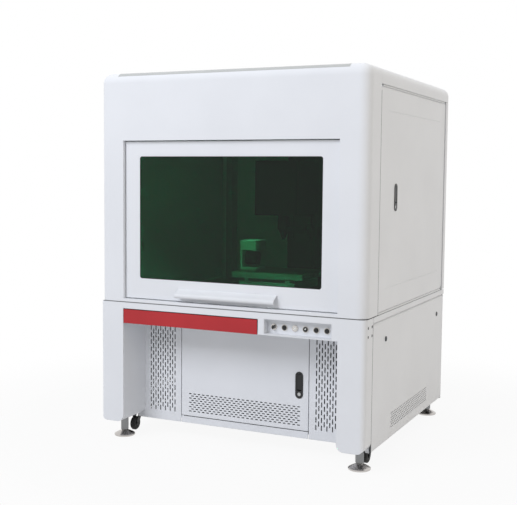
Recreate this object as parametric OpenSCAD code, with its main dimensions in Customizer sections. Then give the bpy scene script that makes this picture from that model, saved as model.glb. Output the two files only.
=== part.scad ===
// Enclosed laser welding machine: a hood with a flip-up window door on a cabinet base.
// Millimetres, +Z up, floor at z = 0, front face towards -Y. Depths run back from the front face.

/* [Overall] */
// Width over the sheet-metal shell
body_w = 1380; // [1300:5:1480]
// Depth from the front face to the back face
body_d = 1330; // [1280:5:1430]
// Height of the work deck, where the hood sits on the base
deck_z = 700; // [680:5:760]
// Height of the roof above the floor
roof_z = 1808; // [1760:4:1900]
// Thickness of the folded sheet steel
sheet = 2.5; // [1.5:0.5:3]
// Open joint between neighbouring panels
seam = 4; // [3:0.5:5]
// How far the side panels and doors lie inside the shell's width
side_inset = 4; // [4:0.5:8]

/* [Hood shell] */
// Radius of the hood's rounded edges
edge_r = 48; // [36:1:56]
// How far the front shell reaches back along the sides
hood_wrap = 158; // [150:1:180]
// Width of the front door opening
open_w = 1112; // [1060:2:1140]
// Height of the front door opening
open_h = 766; // [700:2:800]
// Height of the opening's lower edge above the deck
open_lift = 17; // [14:1:30]
// Length of the grey strip in the top front edge
strip_w = 1184; // [1000:2:1240]
// Height of the fixed band above the side door
band_h = 78; // [70:1:90]
// Side of the square tubes in the hood frame
hood_tube = 40; // [30:1:45]

/* [Front door] */
// Depth of the door's face behind the shell's front face
door_recess = 18; // [14:1:24]
// Thickness of the front door
door_t = 25; // [20:1:30]
// Width of the window
window_w = 946; // [880:2:980]
// Height of the window
window_h = 589; // [540:1:620]
// Height of the window's lower edge above the door opening
window_lift = 102; // [90:1:115]
// Corner radius of the window
window_r = 12; // [6:1:20]
// Thickness of the laser-safety pane
pane_t = 5; // [3:0.5:8]
// Width of the pull along the door's lower edge
handle_w = 516; // [400:2:600]
// Height of the pull
handle_h = 42; // [38:1:50]
// Height of the pull's lower edge above the door opening
handle_lift = 22; // [16:1:30]
// How far the pull stands in front of the shell
handle_proud = 22; // [16:1:30]
// Radius of the door's pivot pins
door_pin_r = 5; // [4:0.5:6]

/* [Gas struts] */
// Radius of the cylinder
strut_r = 11; // [9:0.5:12]
// Radius of the rod
rod_r = 5; // [4:0.5:6]
// Depth of the shell's strut pivot behind the door's axis
strut_back = 105; // [95:1:112]
// Drop of the shell's strut pivot below the door's axis
strut_drop = 520; // [480:2:560]
// Depth of the door's strut pivot behind the door's axis
stud_back = 38; // [34:1:44]
// Drop of the door's strut pivot below the door's axis
stud_drop = 100; // [95:1:110]

/* [Side door] */
// Thickness of the side door
side_door_t = 20; // [16:1:22]
// Distance of each door's pivot axis from its face and its edge
pivot_in = 6; // [5.5:0.5:7]
// Radius of the pivot pins of the side door and the cabinet door
pin_r = 4; // [3:0.5:4.5]
// Height of the side lock's centre above the deck
side_lock_lift = 525; // [450:5:600]
// Distance of the side lock's centre from the door's front edge
side_lock_in = 242; // [150:2:300]
// Distance of the door's two pressed lines from its edges
press_in = 110; // [90:1:140]
// Radius of the rolled edges of the side door and the side panels
panel_roll = 14; // [8:1:15]
// Radius of their front corners
panel_corner = 24; // [18:1:30]

/* [Base shell] */
// Width of each front column
column_w = 131; // [120:1:145]
// Depth of the knee space
knee_d = 201; // [180:1:230]
// Height of the columns' lower edge
column_z = 101; // [95:1:108]
// Radius of the columns' vertical edges
column_r = 25; // [10:1:30]
// Radius of the columns' bottom corners
column_foot_r = 36; // [20:1:45]
// How far the columns reach back along the sides
column_return = 97; // [95:1:110]
// Height of the beam over the knee space
beam_h = 106; // [100:1:115]
// Height of the lower edge of the side and rear panels
panel_z = 78; // [70:1:90]
// Distance of the side panels' top edge below the deck
panel_drop = 32; // [28:1:40]
// Spacing of the bracket holes on the right column, front to back
bracket_pitch_y = 52; // [46:1:56]
// Spacing of the bracket holes, up and down
bracket_pitch_z = 40; // [30:1:60]
// Radius of the bracket holes' threaded bores
bracket_hole_r = 3.4; // [2.5:0.1:4.3]

/* [Cabinet] */
// Side of the square tubes in the base frame
base_tube = 60; // [50:1:62]
// Distance of the feet from the shell's sides
foot_in = 60; // [58:1:64]
// Distance of the front feet behind the front face
foot_front = 120; // [110:1:130]
// Distance of the rear feet before the back face
foot_rear = 80; // [70:1:100]
// Width of the cabinet door
low_door_w = 686; // [600:2:740]
// Thickness of the cabinet door
low_door_t = 20; // [16:1:24]
// Height of the cabinet door's lower edge
low_door_z = 118; // [114:1:130]
// Height of the header bar above the cabinet door
header_h = 12; // [10:1:14]
// Distance of the cabinet lock's centre from the door's free edge
low_lock_in = 47; // [35:1:80]

/* [Vents] */
// Width of a grille slot
grille_slot_w = 5.5; // [4:0.5:6]
// Length of a grille slot
grille_slot_h = 26; // [18:1:27]
// Spacing of the grille's columns
grille_pitch_x = 14; // [12:0.5:15]
// Spacing of the slots in one column
grille_pitch_z = 37; // [32:1:38]
// Columns in each grille
grille_columns = 11; // [7:2:11]
// Slots in each full column
grille_rows = 12; // [8:1:12]
// Width of a vent slot
vent_slot_w = 15; // [10:1:18]
// Height of a vent slot
vent_slot_h = 5; // [3:0.5:6]
// Spacing of the vent slots along a row
vent_pitch_x = 24.5; // [22:0.5:26]
// Spacing of the rows
vent_pitch_z = 11; // [9:0.5:12]
// Rows of vent slots in the cabinet door
vent_rows_door = 9; // [3:2:9]
// Vent slots in a row of the cabinet door
vent_count_door = 25; // [10:1:25]
// Rows of vent slots in a side panel or the back panel
vent_rows_side = 7; // [3:2:9]
// Vent slots in a row of a side panel or the back panel
vent_count_side = 26; // [10:1:32]

/* [Drawer and controls] */
// Width of the drawer front
drawer_w = 724; // [650:2:728]
// Height of the drawer front
drawer_h = 68; // [56:1:72]
// Depth of the keyboard tray
tray_d = 320; // [250:5:330]
// How far the drawer pulls out
drawer_travel = 280; // [200:5:280]
// Width of one drawer slide
rail_w = 13; // [10:0.5:14]
// Height of the control recess
control_h = 72; // [60:1:76]
// Depth of the control recess
control_d = 42; // [38:1:50]
// Distance of the control recess from the right column
control_margin = 27; // [20:1:30]
// Radius of the devices' mounting holes
device_r = 11; // [9:0.5:13]

/* [Feet and casters] */
// Radius of a levelling pad
pad_r = 52; // [40:1:56]
// Radius of a levelling stem
stem_r = 9; // [7:0.5:10]
// Radius of a caster wheel
wheel_r = 35; // [30:1:36]
// Width of a caster wheel
wheel_w = 24; // [18:1:28]
// Gap between caster wheel and floor while the pads carry the machine
wheel_gap = 3; // [2:0.5:5]
// Trail of the caster wheel behind its swivel axis
wheel_trail = 28; // [22:1:30]
// Distance of each caster from the foot beside it
caster_step = 125; // [120:1:150]

/* [Work stage] */
// Distance of the stage's middle from the machine's middle plane
stage_x = 84; // [40:2:100]
// Depth of the stage's middle behind the front face
stage_depth = 430; // [420:2:450]
// Width of the work table
table_w = 376; // [320:2:400]
// Depth of the work table
table_d = 300; // [260:2:320]
// Thickness of the work table
table_t = 30; // [26:1:36]
// Height of the work table's top above the deck
table_lift = 150; // [146:1:170]
// Travel of the stage to each side
travel_x = 90; // [60:5:90]
// Travel of the stage to the front and to the back
travel_y = 80; // [50:5:90]
// Width of the welding head's housing
head_w = 227; // [180:1:240]
// Height of the head housing's lower edge above the deck
head_lift = 425; // [410:1:470]
// Height of the head housing
head_h = 270; // [220:2:300]
// Downward travel of the head
head_down = 110; // [80:5:110]
// Upward travel of the head
head_up = 60; // [30:5:80]

/* [Hidden] */
$fn = 64;
eps = 1;
// Gap between two sliding faces, and radial gap of a pin in its bore
run = 0.4;
bore_gap = 0.05;

// Shell: half widths outside, inside the sheet and at the panel faces, and the main heights
front_y = -(body_d - handle_proud) / 2;
half_w = body_w / 2;
in_x = half_w - sheet;
skin_x = half_w - side_inset;
hood_z = deck_z + seam / 2;
base_top = deck_z - seam / 2;
band_z = roof_z - band_h;
flange_x = half_w - 30;
strip_t = 1.2;

// Front door, its opening and its pull
open_z = deck_z + open_lift;
open_top = open_z + open_h;
door_z = open_z + seam;
door_top = open_top - seam;
door_half = open_w / 2 - seam;
door_axis_d = door_recess + pivot_in;
door_axis_z = door_top - pivot_in;
window_z = open_z + window_lift;
pane_lap = 14;
pane_half = window_w / 2 + pane_lap;
handle_z = open_z + handle_lift;
handle_t = 3;
handle_bend_r = 14;

// Gas struts
strut_x = open_w / 2 - 22;
strut_eye = 2 * rod_r + 2;
strut_pin_r = 5;
strut_fix_d = door_axis_d + strut_back;
strut_fix_z = door_axis_z - strut_drop;
stud_d = door_axis_d + stud_back;
stud_z = door_axis_z - stud_drop;
stud_x0 = strut_x - strut_eye / 2 - 16;
stud_plate = 4;
strut_len = norm([stud_d - strut_fix_d, stud_z - strut_fix_z]);
strut_lean = atan2(strut_fix_d - stud_d, stud_z - strut_fix_z);
cylinder_len = strut_len * 0.6;
rod_tail = strut_len * 0.3;

// Base frame, knee wall and cabinet door
deck_t = 20;
deck_under = deck_z - deck_t;
knee_half = half_w - column_w;
beam_z = base_top - beam_h + seam;
frame_z = column_z + 3;
rail_h = 50;
header_z = beam_z - header_h - seam;
low_door_top = header_z - seam;
low_door_half = low_door_w / 2;
low_axis_x = -low_door_half + pivot_in;
low_axis_d = knee_d + pivot_in;
wall_post = 40;
wall_d = knee_d + sheet;
wall_z = panel_z + 3;
foot_x = half_w - foot_in;
foot_rear_d = body_d - foot_rear;
post_out = foot_x + base_tube / 2;
post_in = foot_x - base_tube / 2;
low_lock_lift = 217;
low_vent_lift = 24;
bracket_nut_r = 7;

// Side and rear panels of the base
panel_top = deck_z - panel_drop;
panel_d0 = column_return + seam;
panel_d1 = body_d - seam;
vent_lift = 56;
panel_lock_r = 9;
panel_lock_z = panel_top - 94;
panel_lock_depths = [panel_d0 + 196, panel_d1 - 127];

// Hood frame, side door and left panel
hood_post_x1 = half_w - edge_r;
hood_post_x0 = hood_post_x1 - hood_tube;
hood_rail_z = roof_z - sheet - hood_tube;
hood_back_d = body_d - 6;
rear_return = 42;
bracket_d = 30;
side_d0 = hood_wrap + seam;
side_d1 = body_d - rear_return - seam;
side_z0 = hood_z;
side_z1 = band_z - seam;
side_axis_x = skin_x - pivot_in;
side_axis_d = side_d1 - pivot_in;
pin_seat = 14;
hinge_h = 16;
hinge_half = 9;
rebate_h = 20;

// Drawer, its slides and the control pan
drawer_x0 = -knee_half + seam / 2;
drawer_x1 = drawer_x0 + drawer_w;
drawer_z = beam_z;
front_t = 2 * sheet;
rail_margin = 6;
tray_x0 = -knee_half + rail_w + run;
tray_x1 = drawer_x1 - rail_w - rail_margin;
tray_z = beam_z + 4;
tray_h = drawer_h - 16;
rail_d0 = 12;
rail_d1 = rail_d0 + drawer_travel + 8;
slide_z = tray_z + 14;
slide_h = 28;
control_x1 = knee_half - control_margin;
control_x0 = drawer_x1 + 33;
control_z = beam_z + 4;
plate_d = control_d - sheet;
device_count = 6;
device_z = control_z + 32;
device_edge = 36;
device_x0 = control_x0 + device_edge;
device_pitch = (control_x1 - device_edge - device_x0) / (device_count - 1);
bezel_bore = device_r - 2;
device_tail = 8;

// Lever locks
lock_h = 128;
lock_w = 39;
lock_proud = 3;
lock_deep = 15;
lock_floor = lock_deep - 4;
lock_shank = 8;
lever_w = 22;
lever_t = 7;
lever_top = lock_h / 2 - 14;
lever_low = -lock_h / 2 + 42;
lever_pin_r = 2;
lock_button_z = -lock_h / 2 + 20;
lock_button_r = 8.5;

// Feet and casters
pad_h = 30;
nut_h = 14;
nut_r = stem_r * 1.75;
wheel_z = wheel_r + wheel_gap;
axle_r = 4;
fork_gap = 1.5;
fork_t = 3;
fork_half = wheel_w / 2 + fork_gap + fork_t;
crown_h = 14;
crown_z = frame_z - crown_h;
crown_r = base_tube / 2 - 6;
rail_lap = 4;
cheek_r = 11;

// Units in the cabinet
unit_half = low_door_half - 60;
unit_d0 = wall_d + 206;
unit_d1 = foot_rear_d - 40;
source_w = 273;
source_h = 270;
controller_w = 213;
controller_h = 340;

// Work stage, column and head
base_h = 54;
guide_w = 22;
guide_t = 14;
guide_span = table_d / 2 - 50;
base_half = table_w / 2 + travel_x + 20;
saddle_z = deck_z + base_h + guide_t;
saddle_half = table_w / 2 - 40;
table_z = deck_z + table_lift;
table_under = table_z - table_t;
saddle_top = table_under - run - guide_t;
column_d0 = stage_depth + table_d / 2 + travel_y + 40;
column_half = 75;
column_d1 = column_d0 + 150;
head_z = deck_z + head_lift;
head_d0 = stage_depth - 50;
carriage_t = 24;

white = [0.86, 0.87, 0.88];
grey = [0.62, 0.63, 0.63];
dark = [0.16, 0.17, 0.18];
black = [0.05, 0.05, 0.06];
steel = [0.72, 0.73, 0.75];
red = [0.68, 0.14, 0.16];
green = [0.10, 0.22, 0.13, 0.75];

// Y of a point that lies d behind the front face
function at(d) = front_y + d;

// Box between two corners, each given as [x, depth, z]
module slab(a, b) {
    translate([a[0], at(a[1]), a[2]])
        cube([b[0] - a[0], b[1] - a[1], b[2] - a[2]]);
}

// Extrudes an outline drawn in x and z from depth d0 back to depth d1
module through(d0, d1) {
    translate([0, at(d1), 0])
        rotate([90, 0, 0])
            linear_extrude(d1 - d0)
                children();
}

// Extrudes an outline drawn in depth and z from x0 to x1
module across(x0, x1) {
    translate([x0, front_y, 0])
        rotate([90, 0, 90])
            linear_extrude(x1 - x0)
                children();
}

// Solid rod along X through a point given as depth and z
module rod_x(x0, x1, d, z, r) {
    translate([x0, at(d), z])
        rotate([0, 90, 0])
            cylinder(r = r, h = x1 - x0);
}

// Solid rod along Z
module rod_z(x, d, z0, z1, r) {
    translate([x, at(d), z0])
        cylinder(r = r, h = z1 - z0);
}

// The shape and its mirror image on the other side of the middle plane
module both_sides() {
    children();
    mirror([1, 0, 0])
        children();
}

// Rectangle from the origin with rounded corners
module round_rect(w, h, r) {
    translate([r, 0])
        square([w - 2 * r, h]);
    translate([0, r])
        square([w, h - 2 * r]);
    for (x = [r, w - r], z = [r, h - r])
        translate([x, z])
            circle(r);
}

// Upright slot with round ends, centred on the origin
module obround(w, h) {
    square([w, h - w], center = true);
    for (s = [-1, 1])
        translate([0, s * (h - w) / 2])
            circle(w / 2);
}

// Cutters for a field of horizontal vent slots, centred on x, rising from z
module vent_cutters(x, z, count, rows, d0, d1) {
    for (row = [0 : rows - 1])
        for (i = [0 : count - 1 - row % 2])
            translate([x + (i - (count - 1 - row % 2) / 2) * vent_pitch_x, 0, z + row * vent_pitch_z])
                through(d0, d1)
                    rotate(90)
                        obround(vent_slot_h, vent_slot_w);
}

// Quarter of a disc between the two positive axes
module quarter(r) {
    intersection() {
        circle(r);
        square(r);
    }
}

// Quarter-round edge in section: u outwards from the edge's axis, v up to the top
module edge_section(r, z0, z1) {
    translate([0, z0])
        square([r, z1 - r - z0]);
    translate([0, z1 - r])
        quarter(r);
}

// Sheet wall that turns into the roof, in section
module skin_section(z0) {
    difference() {
        edge_section(edge_r, z0, roof_z);
        edge_section(edge_r - sheet, z0 - eps, roof_z - sheet);
    }
}

// One straight side of the hood with its rounded top edge
module skin_side(d0, d1, z0) {
    through(d0, d1)
        translate([half_w - edge_r, 0])
            skin_section(z0);
}

// Solid behind a panel's face at skin_x: front, top and bottom edges rolled over, front corners round.
// The inset shrinks it on those sides, for the hollow behind the sheet
module rolled_block(d0, d1, z0, z1, t, inset) {
    roll = panel_roll - inset;
    corner = panel_corner - inset;
    face = skin_x - inset;
    edge_x = face - roll;
    front = d0 + inset;
    low = z0 + inset;
    high = z1 - inset;
    across(skin_x - t, edge_x) {
        translate([front + corner, low])
            square([d1 - front - corner, high - low]);
        translate([front, low + corner])
            square([d1 - front, high - low - 2 * corner]);
        for (z = [low + corner, high - corner])
            translate([front + corner, z])
                circle(corner);
    }
    slab([edge_x, front + corner, low + roll], [face, d1, high - roll]);
    slab([edge_x, front + roll, low + corner], [face, front + corner, high - corner]);
    through(front + corner, d1) {
        translate([edge_x, high - roll])
            quarter(roll);
        translate([edge_x, low + roll])
            mirror([0, 1])
                quarter(roll);
    }
    translate([edge_x, at(front + roll), low + corner])
        linear_extrude(high - low - 2 * corner)
            mirror([0, 1])
                quarter(roll);
    for (end = [[high - corner, 90], [low + corner, 180]])
        translate([edge_x, at(front + corner), end[0]])
            rotate([90, 0, 90])
                rotate(end[1])
                    rotate_extrude(angle = 90)
                        rolled_section(corner - roll, roll);
}

// Section of a rolled corner, from the corner's axis outwards
module rolled_section(flat, roll) {
    square([flat, roll]);
    translate([flat, 0])
        quarter(roll);
}

// Pressed panel with rolled edges and a folded rear edge, open at the back, face towards +X
module side_pan(d0, d1, z0, z1, t) {
    difference() {
        rolled_block(d0, d1, z0, z1, t, 0);
        rolled_block(d0, d1 - sheet, z0, z1, t + eps, sheet);
    }
}

// Base frame of welded square tube
module base_frame() {
    color(grey)
        difference() {
            union() {
                both_sides() {
                    for (d = [foot_front, foot_rear_d])
                        slab([post_in, d - base_tube / 2, frame_z],
                             [post_out, d + base_tube / 2, deck_under]);
                    for (z = [frame_z, deck_under - rail_h])
                        slab([post_in, foot_front, z], [post_out, foot_rear_d, z + rail_h]);
                    slab([post_in - wall_post, wall_d, frame_z], [post_in, wall_d + wall_post, deck_under]);
                }
                slab([-post_in, wall_d, header_z], [post_in, wall_d + wall_post, header_z + header_h]);
                slab([-post_in, tray_d + 30, deck_under - rail_h],
                     [post_in, tray_d + 30 + base_tube, deck_under]);
                for (z = [frame_z, deck_under - rail_h])
                    slab([-post_in, foot_rear_d - base_tube / 2, z],
                         [post_in, foot_rear_d + base_tube / 2, z + rail_h]);
            }
            rod_z(low_axis_x, low_axis_d, header_z - eps, header_z + header_h + eps, pin_r + bore_gap);
        }
}

// Front outline of the fascia: two columns and the beam, drawn in x and z, inset by t
module fascia_outline(t) {
    for (s = [0, 1])
        mirror([s, 0])
            translate([knee_half + t, column_z + t])
                round_rect(column_w - 2 * t, base_top - column_z - t + column_foot_r, column_foot_r - t);
    translate([-knee_half - column_w / 2, beam_z + t])
        square([2 * knee_half + column_w, base_top - beam_z]);
}

// Plan of the fascia with rounded front corners, inset by t
module fascia_plan(t) {
    translate([-half_w + t, front_y + t])
        round_rect(body_w - 2 * t, knee_d + 2 * column_r, column_r - t);
}

module fascia_solid(t, d1) {
    intersection() {
        through(t, d1)
            fascia_outline(t);
        linear_extrude(base_top + (t > 0 ? eps : 0))
            fascia_plan(t);
    }
}

// Folded front of the base with the knee space, drawer notch and control cut-out
module front_fascia() {
    color(white)
        difference() {
            fascia_solid(0, knee_d);
            fascia_solid(sheet, knee_d + eps);
            both_sides()
                slab([post_out, column_return, 0], [half_w + eps, knee_d + eps, deck_z]);
            slab([-knee_half, -eps, 0], [drawer_x1 + seam, knee_d + eps, drawer_z + drawer_h + seam]);
            slab([control_x0, -eps, control_z], [control_x1, sheet + eps, control_z + control_h]);
            both_sides()
                rod_z(foot_x, foot_front, column_z - eps, frame_z, nut_r + 2);
            bracket_rods(in_x - eps, half_w + eps, bracket_nut_r);
        }
}

// Four equal rods where a monitor arm is screwed to the right column's side
module bracket_rods(x0, x1, r) {
    for (i = [0, 1], j = [0, 1])
        rod_x(x0, x1, column_r + 8 + i * bracket_pitch_y, base_top - 38 - j * bracket_pitch_z, r);
}

// Rivet nuts in those places, flush with the column's side and bulged behind the sheet
module bracket_nuts() {
    nut_end = half_w - 18;
    bulge = 5;
    color(dark)
        difference() {
            union() {
                bracket_rods(nut_end, half_w - run, bracket_nut_r - bore_gap);
                bracket_rods(in_x - bulge, in_x, bracket_nut_r + 2);
            }
            bracket_rods(nut_end - eps, half_w + eps, bracket_hole_r);
        }
}

// Two perforated wall panels beside the cabinet door
module knee_grilles() {
    grille_x0 = low_door_half + seam;
    grille_mid = (grille_x0 + knee_half) / 2;
    grille_z = low_door_z + 10;
    color(white)
        both_sides()
            difference() {
                union() {
                    slab([grille_x0, knee_d, wall_z], [post_in, wall_d, header_z + header_h]);
                    slab([grille_x0, knee_d, low_door_z],
                         [grille_x0 + sheet, knee_d + low_door_t, header_z]);
                }
                for (i = [0 : grille_columns - 1], j = [0 : grille_rows - 1 - i % 2])
                    translate([grille_mid + (i - (grille_columns - 1) / 2) * grille_pitch_x, 0,
                               grille_z + grille_slot_h / 2 + (j + (i % 2) / 2) * grille_pitch_z])
                        through(knee_d - eps, wall_d + eps)
                            obround(grille_slot_w, grille_slot_h);
            }
}

// Cabinet floor with the lip under the door and the boss for the door's lower pin
module floor_pan() {
    pan_half = post_in - 8;
    pan_rear = foot_rear_d - base_tube / 2 + rail_lap;
    boss_half = 10;
    color(white)
        difference() {
            union() {
                slab([-pan_half, wall_d, frame_z - sheet], [pan_half, pan_rear, frame_z]);
                slab([-low_door_half, knee_d, wall_z], [low_door_half, wall_d, low_door_z - seam]);
                slab([low_axis_x - boss_half, wall_d, frame_z],
                     [low_axis_x + boss_half, knee_d + low_door_t, low_door_z - seam]);
            }
            rod_z(low_axis_x, low_axis_d, frame_z - sheet - eps, low_door_z, pin_r + bore_gap);
        }
}

// Pressed side panel of the base with its vent field
module lower_side_panel() {
    difference() {
        side_pan(panel_d0, panel_d1, panel_z, panel_top, skin_x - post_out);
        translate([skin_x, 0, 0])
            rotate(90)
                vent_cutters((at(panel_d0) + at(panel_d1)) / 2, panel_z + vent_lift, vent_count_side,
                             vent_rows_side, -front_y - eps, -front_y + sheet + eps);
        children();
    }
}

module side_panel_right() {
    color(white)
        lower_side_panel()
            for (d = panel_lock_depths)
                rod_x(skin_x - sheet - eps, skin_x + eps, d, panel_lock_z, panel_lock_r + bore_gap);
}

module side_panel_left() {
    color(white)
        mirror([1, 0, 0])
            lower_side_panel();
}

// Lower rear panel with its vent field
module back_panel() {
    lip_x = post_out - 1;
    color(white)
        difference() {
            union() {
                slab([-skin_x, body_d - sheet, panel_z], [skin_x, body_d, panel_top]);
                slab([-lip_x, body_d - sheet, panel_top], [lip_x, body_d, deck_under]);
                slab([-lip_x, foot_rear_d + base_tube / 2, deck_under - sheet],
                     [lip_x, body_d, deck_under]);
            }
            vent_cutters(0, panel_z + vent_lift, vent_count_side, vent_rows_side,
                         body_d - sheet - eps, body_d + eps);
        }
}

// Folded strips between the side panels and the deck
module side_trims() {
    color(white)
        both_sides() {
            slab([in_x, panel_d0, panel_top + seam], [half_w, body_d, base_top]);
            slab([post_out, panel_d0, panel_top + seam], [half_w, body_d, panel_top + seam + sheet]);
        }
}

// Cabinet door: a folded pan with pivot pins at its left edge
module lower_door() {
    color(white)
        union() {
            difference() {
                slab([-low_door_half, knee_d, low_door_z],
                     [low_door_half, knee_d + low_door_t, low_door_top]);
                slab([-low_door_half + 2 * pivot_in, wall_d, low_door_z + sheet],
                     [low_door_half - sheet, knee_d + low_door_t + eps, low_door_top - sheet]);
                vent_cutters(0, low_door_z + low_vent_lift, vent_count_door, vent_rows_door,
                             knee_d - eps, wall_d + eps);
                lower_lock_place()
                    lock_cutout();
            }
            rod_z(low_axis_x, low_axis_d, low_door_top - eps, header_z + header_h, pin_r);
            rod_z(low_axis_x, low_axis_d, frame_z - sheet, low_door_z + eps, pin_r);
        }
}

// Places a lock on the cabinet door, facing forwards
module lower_lock_place() {
    translate([low_door_half - low_lock_in, at(knee_d), low_door_z + low_lock_lift])
        children();
}

// Places a lock on the side door, facing right
module side_lock_place() {
    translate([skin_x, at(side_d0 + side_lock_in), deck_z + side_lock_lift])
        rotate(90)
            children();
}

// Extrudes a lock outline from y0 back to y1
module lock_extrude(y0, y1) {
    translate([0, y1, 0])
        rotate([90, 0, 0])
            linear_extrude(y1 - y0)
                children();
}

// Hole in the door for the lock's shank
module lock_cutout() {
    lock_extrude(-eps, lock_deep)
        obround(lock_w - lock_shank, lock_h - lock_shank);
}

// Round pin or bore across a lock, on the lever's axis
module lever_axis(r, w) {
    translate([-w / 2, lever_pin_r, lever_top])
        rotate([0, 90, 0])
            cylinder(r = r, h = w);
}

// Lock housing: an oblong flange with the lever's pocket and the button's bore
module lock_body() {
    pocket_low = lever_low - 5;
    pocket_h = lever_top + 4.6 - pocket_low;
    color(black)
        difference() {
            union() {
                lock_extrude(-lock_proud, 0)
                    obround(lock_w, lock_h);
                lock_extrude(-eps, lock_deep)
                    obround(lock_w - lock_shank, lock_h - lock_shank);
            }
            translate([0, 0, pocket_low + pocket_h / 2])
                lock_extrude(-lock_proud - eps, lock_floor)
                    square([lever_w + 3 * run, pocket_h], center = true);
            translate([0, lock_floor, lock_button_z])
                rotate([90, 0, 0])
                    cylinder(r = lock_button_r + run, h = lock_deep + lock_proud);
            lever_axis(lever_pin_r + bore_gap, lock_w - 10);
        }
}

// Lever that springs out of the pocket, on a cross pin at its upper end
module lock_lever() {
    color(black)
        union() {
            translate([-lever_w / 2, -lock_proud + 1, lever_low])
                cube([lever_w, lever_t, lever_top - lever_low]);
            lever_axis(2 * lever_pin_r, lever_w);
            lever_axis(lever_pin_r, lock_w - 12);
        }
}

// Push-button that frees the lever
module lock_button() {
    color(steel)
        translate([0, lock_floor - 5, lock_button_z])
            rotate([90, 0, 0])
                cylinder(r = lock_button_r, h = lock_floor - 6 + lock_proud);
}

module lower_lock_body() {
    lower_lock_place()
        lock_body();
}

module lower_lock_lever() {
    lower_lock_place()
        lock_lever();
}

module lower_lock_button() {
    lower_lock_place()
        lock_button();
}

module side_lock_body() {
    side_lock_place()
        lock_body();
}

module side_lock_lever() {
    side_lock_place()
        lock_lever();
}

module side_lock_button() {
    side_lock_place()
        lock_button();
}

// Tray behind the drawer front, running between the two slides
module keyboard_tray() {
    color(white)
        difference() {
            slab([tray_x0, front_t, tray_z], [tray_x1, tray_d, tray_z + tray_h]);
            slab([tray_x0 + sheet, front_t + sheet, tray_z + sheet],
                 [tray_x1 - sheet, tray_d - sheet, tray_z + tray_h + eps]);
        }
}

module drawer_front() {
    color(red)
        slab([drawer_x0, 0, drawer_z], [drawer_x1, front_t, drawer_z + drawer_h]);
}

// Two slides: the left one on the column, the right one on a hanger under the deck
module drawer_rails() {
    hang_x = tray_x1 + run + rail_w;
    color(steel) {
        slab([-knee_half, rail_d0, slide_z], [tray_x0 - run, rail_d1, slide_z + slide_h]);
        slab([tray_x1 + run, rail_d0, slide_z], [hang_x, rail_d1, slide_z + slide_h]);
        slab([hang_x, rail_d0, slide_z], [hang_x + sheet, rail_d1, deck_under]);
    }
}

// Recessed pan that holds the control devices
module control_panel() {
    color(white)
        difference() {
            slab([control_x0, 0, control_z], [control_x1, control_d, control_z + control_h]);
            slab([control_x0 + sheet, -eps, control_z + sheet],
                 [control_x1 - sheet, plate_d, control_z + control_h - sheet]);
            for (i = [0 : device_count - 1])
                device(i)
                    cylinder(r = device_r, h = 4 * sheet, center = true);
        }
}

// Places a device on the pan's face, its own +Z pointing out to the front
module device(i) {
    translate([device_x0 + i * device_pitch, at(plate_d), device_z])
        rotate([90, 0, 0])
            children();
}

// Front ring of one device, with its barrel through the pan and its nut behind it
module bezel(i) {
    ring_h = 4;
    bezel_nut = 6;
    barrel = 20;
    device(i)
        difference() {
            union() {
                cylinder(r = device_r + 3.5, h = ring_h);
                translate([0, 0, -barrel])
                    cylinder(r = device_r - bore_gap, h = barrel + eps);
                translate([0, 0, -sheet - bezel_nut])
                    cylinder(r = device_r + 4, h = bezel_nut, $fn = 6);
            }
            translate([0, 0, -2 * device_tail])
                cylinder(r = bezel_bore, h = 4 * device_tail);
        }
}

// Black rings of the push-buttons and the selector
module button_bezels() {
    color(black)
        for (i = [1, 3, 4, 5])
            bezel(i);
}

// Plated rings of the key switch and the lamp
module metal_bezels() {
    color(steel)
        for (i = [0, 2])
            bezel(i);
}

// Plain push-button with a slightly dished cap
module push_button(i, tint) {
    cap_h = 9;
    dish_r = 31;
    dish = 1;
    color(tint)
        device(i)
            difference() {
                translate([0, 0, -device_tail])
                    cylinder(r = bezel_bore - run, h = device_tail + cap_h);
                translate([0, 0, cap_h - dish + dish_r])
                    sphere(r = dish_r);
            }
}

module power_button() {
    push_button(1, black);
}

module start_button() {
    push_button(4, black);
}

module stop_button() {
    push_button(5, black);
}

// Domed lamp lens
module pilot_lamp() {
    dome_r = 14;
    color(steel)
        device(2)
            intersection() {
                translate([0, 0, -device_tail])
                    cylinder(r = bezel_bore, h = 2 * device_tail);
                translate([0, 0, 8 - dome_r])
                    sphere(r = dome_r);
            }
}

// Key in its lock barrel, upright, with a round bow
module key_switch() {
    barrel_h = 6;
    key_t = 2.5;
    neck_w = 7;
    neck_l = 6;
    bow_r = 7;
    color(steel)
        device(0)
            union() {
                translate([0, 0, -device_tail])
                    cylinder(r = bezel_bore - run, h = device_tail + barrel_h);
                translate([-key_t / 2, -neck_w / 2, barrel_h - eps])
                    cube([key_t, neck_w, neck_l + eps]);
                translate([0, 0, barrel_h + neck_l / 2 + bow_r])
                    rotate([0, 90, 0])
                        difference() {
                            cylinder(r = bow_r, h = key_t, center = true);
                            cylinder(r = bow_r / 3, h = 2 * key_t, center = true);
                        }
            }
}

// Selector with a raised handle across its face, turned to its right-hand stop
module mode_selector() {
    grip_w = 5;
    grip_l = 2 * bezel_bore - 1;
    grip_turn = -45;
    color(black)
        device(3)
            union() {
                translate([0, 0, -device_tail])
                    cylinder(r = bezel_bore - run, h = device_tail + grip_w);
                rotate(grip_turn)
                    translate([-grip_w / 2, -grip_l / 2, grip_w - eps])
                        cube([grip_w, grip_l, 8 + eps]);
            }
}

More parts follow.
